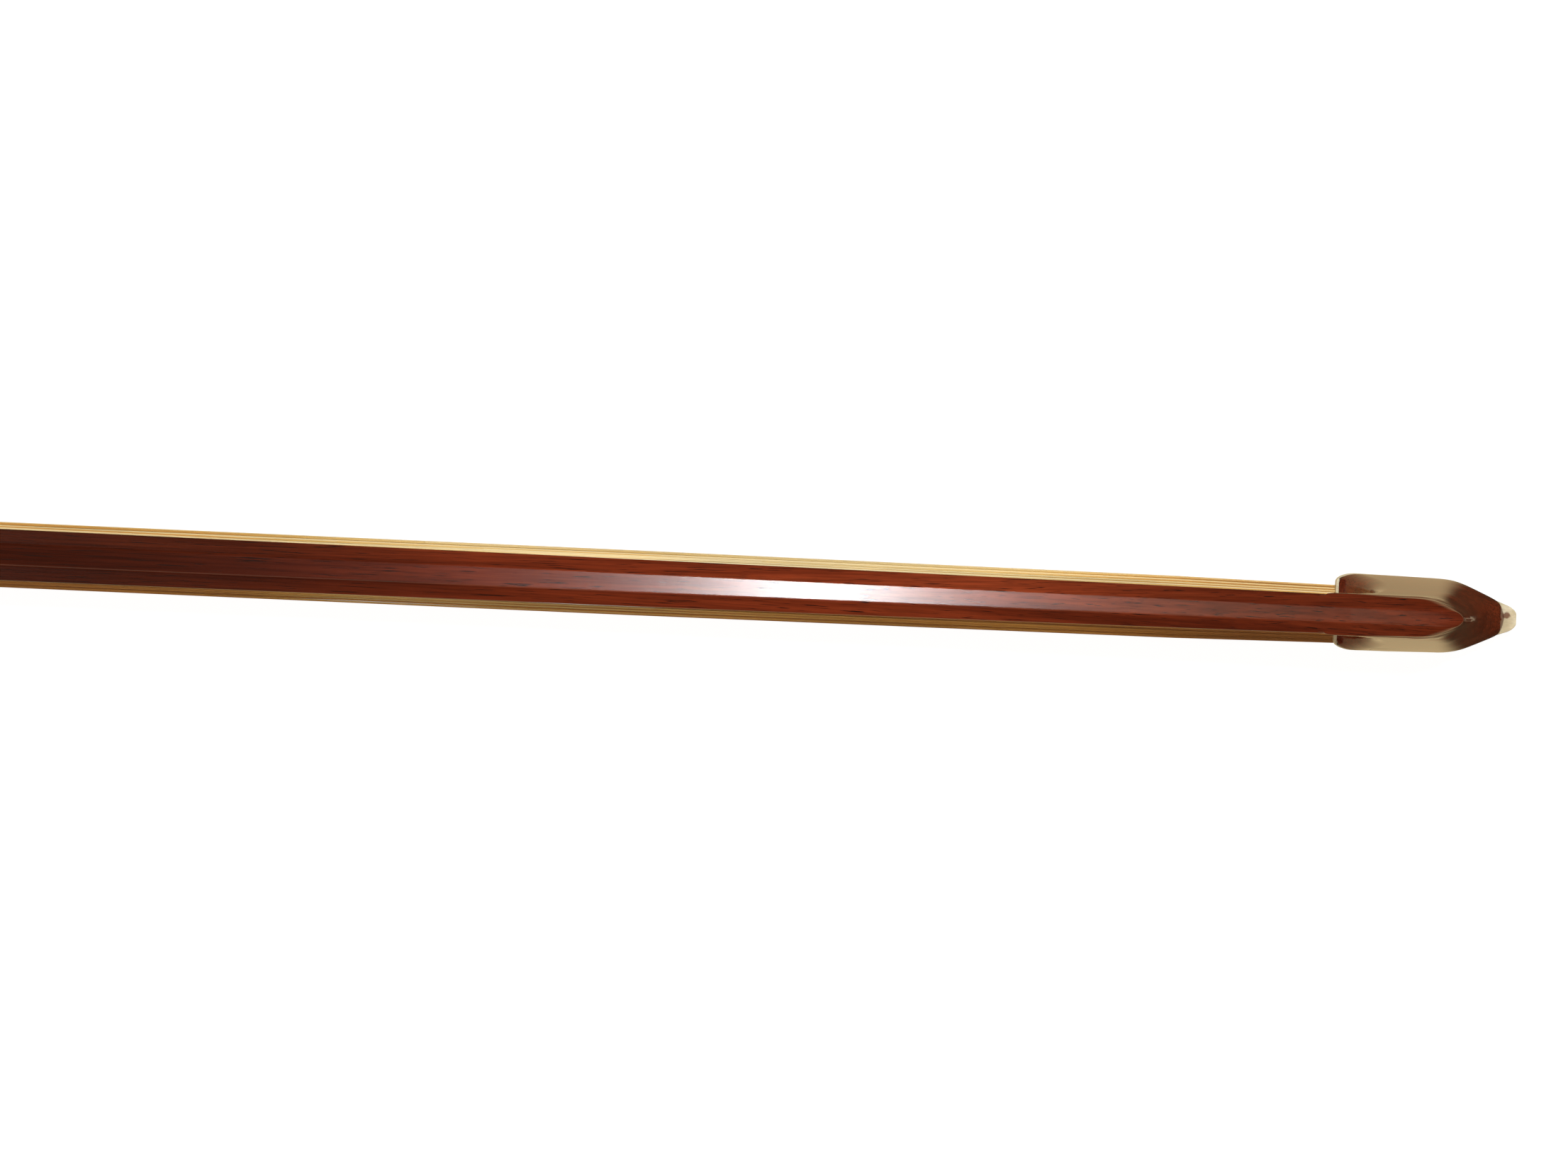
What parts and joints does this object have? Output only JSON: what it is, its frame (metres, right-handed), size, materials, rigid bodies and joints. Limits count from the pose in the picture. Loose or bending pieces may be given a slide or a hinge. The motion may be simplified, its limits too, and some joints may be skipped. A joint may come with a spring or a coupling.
{
  "type": "violin bow",
  "caption": "Long cambered octagonal wooden stick with a hatchet-shaped head, a flat ribbon of hair, a sliding dark frog with metal ferrule, and a tightening screw button.",
  "frame": {"origin": "mid-length of the bow, mid-width, in the plane that the frog's underside and the head's face plate stand on", "axes": "+X along the bow towards the head, +Z from the hair up to the stick's back, Y across the bow"},
  "size_m": [0.747, 0.0134, 0.0283],
  "materials": {
    "varnished_wood": "glossy varnish over dark red-brown wood, fine lengthwise grain",
    "bone": "satin cream, bone-like",
    "ebony": "polished near-black wood",
    "plug_wood": "bare pale wood",
    "hair": "rosined golden horsehair",
    "thread": "waxed thread",
    "leather": "smooth dark grip leather",
    "nickel_silver": "polished nickel silver",
    "steel": "turned steel",
    "brass": "plain brass",
    "pearl": "polished pearl"
  },
  "bodies": {
    "stick": {"stick": "varnished_wood", "tip_liner": "ebony", "tip_plate": "bone", "tip_plug": "plug_wood", "tip_hair_knot": "hair", "tip_knot_thread": "thread", "hair_ribbon": "hair", "thumb_leather": "leather", "wire_lapping": "nickel_silver"},
    "screw": {"screw": "steel", "button_core": "ebony", "button_front_band": "nickel_silver", "button_rear_band": "nickel_silver", "button_pearl": "pearl"},
    "frog": {"frog_body": "ebony", "underslide": "nickel_silver", "underslide_pin_front": "nickel_silver", "underslide_pin_rear": "nickel_silver", "eyelet": "brass", "ferrule": "nickel_silver", "ferrule_wedge": "plug_wood", "frog_plug": "plug_wood", "frog_hair_knot": "hair", "frog_knot_thread": "thread", "slide_bar": "ebony", "slide_pearl": "pearl", "heel_plate": "nickel_silver", "heel_pin_lower": "nickel_silver", "heel_pin_upper": "nickel_silver", "eye_ring_left": "nickel_silver", "eye_ring_right": "nickel_silver", "pearl_eye_left": "pearl", "pearl_eye_right": "pearl"}
  },
  "joints": [
    {"name": "screw_turn", "type": "hinge", "parent": "stick", "child": "screw", "pos_m": [-0.3562, 0, 0.023], "axis": [1, 0, 0], "range_deg": [-2521, 1081]},
    {"name": "frog_slide", "type": "slide", "parent": "stick", "child": "frog", "axis": [-1, 0, 0], "range_m": [-0.0049, 0.0021], "deforming": ["hair_ribbon"]}
  ],
  "couplings": [
    {"joint": "screw_turn", "follows": "frog_slide", "rad_per_m": 8976}
  ]
}
